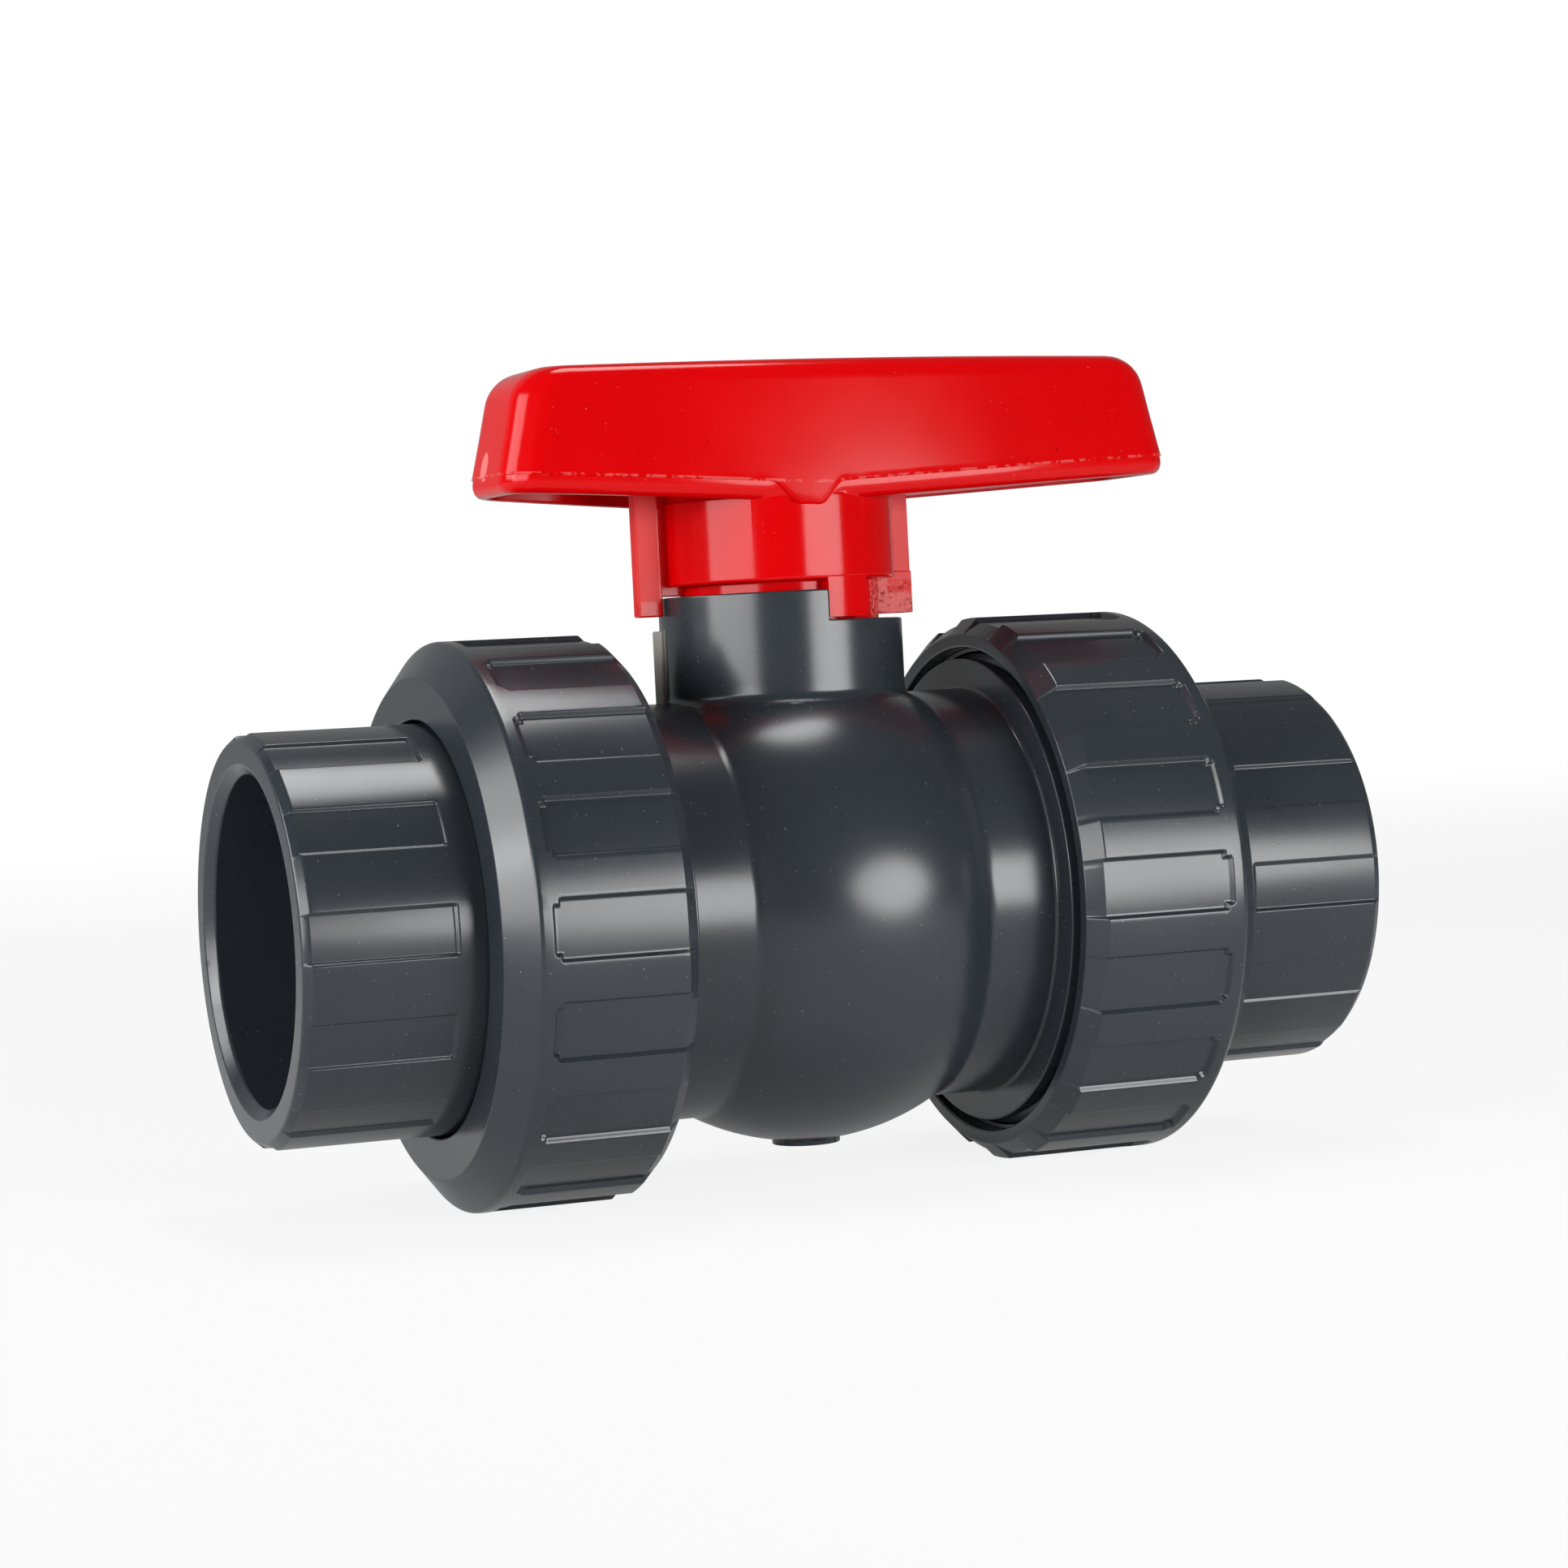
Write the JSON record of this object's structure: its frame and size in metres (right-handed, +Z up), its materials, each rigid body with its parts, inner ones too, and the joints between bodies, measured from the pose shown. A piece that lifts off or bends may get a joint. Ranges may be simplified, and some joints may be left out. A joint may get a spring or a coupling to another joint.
{
  "type": "double-union ball valve",
  "caption": "Straight plastic ball valve with a union nut and a solvent-weld pipe socket at each end, turned a quarter turn by a wing handle on top.",
  "frame": {"origin": "on the surface that the valve stands on, below the crossing of the pipe axis and the stem axis", "axes": "+X along the pipe towards the handle's long arm and the seat carrier, +Z up along the stem"},
  "size_m": [0.178, 0.0876, 0.129],
  "materials": {
    "pvc_grey": "moulded dark grey PVC, semi-gloss",
    "handle_red": "moulded red ABS, gloss",
    "seat_white": "machined PTFE, satin",
    "rubber_black": "black EPDM, satin"
  },
  "bodies": {
    "valve_body": {"body": "pvc_grey", "seat_left": "seat_white", "seat_right": "seat_white", "seat_ring_left": "rubber_black", "seat_ring_right": "rubber_black", "seat_carrier": "pvc_grey", "carrier_ring": "rubber_black", "face_ring_left": "rubber_black", "face_ring_right": "rubber_black", "connector_left": "pvc_grey", "connector_right": "pvc_grey"},
    "stem": {"stem": "pvc_grey", "stem_ring_lower": "rubber_black", "stem_ring_upper": "rubber_black"},
    "ball": {"ball": "pvc_grey"},
    "handle": {"handle": "handle_red"},
    "nut_left": {"union_nut_left": "pvc_grey"},
    "nut_right": {"union_nut_right": "pvc_grey"}
  },
  "joints": [
    {"name": "stem_turn", "type": "hinge", "parent": "valve_body", "child": "stem", "pos_m": [0, 0, 0.0438], "axis": [0, 0, 1], "range_deg": [0, 90]},
    {"name": "ball_turn", "type": "hinge", "parent": "valve_body", "child": "ball", "pos_m": [0, 0, 0.0438], "axis": [0, 0, 1], "range_deg": [0, 90]},
    {"name": "handle_lift", "type": "slide", "parent": "stem", "child": "handle", "axis": [0, 0, 1], "range_m": [0, 0.022]},
    {"name": "nut_left_turn", "type": "hinge", "parent": "valve_body", "child": "nut_left", "pos_m": [-0.047, 0, 0.0438], "axis": [-1, 0, 0], "continuous": true},
    {"name": "nut_right_turn", "type": "hinge", "parent": "valve_body", "child": "nut_right", "pos_m": [0.047, 0, 0.0438], "axis": [1, 0, 0], "continuous": true}
  ],
  "couplings": [
    {"joint": "ball_turn", "follows": "stem_turn", "ratio": 1}
  ]
}
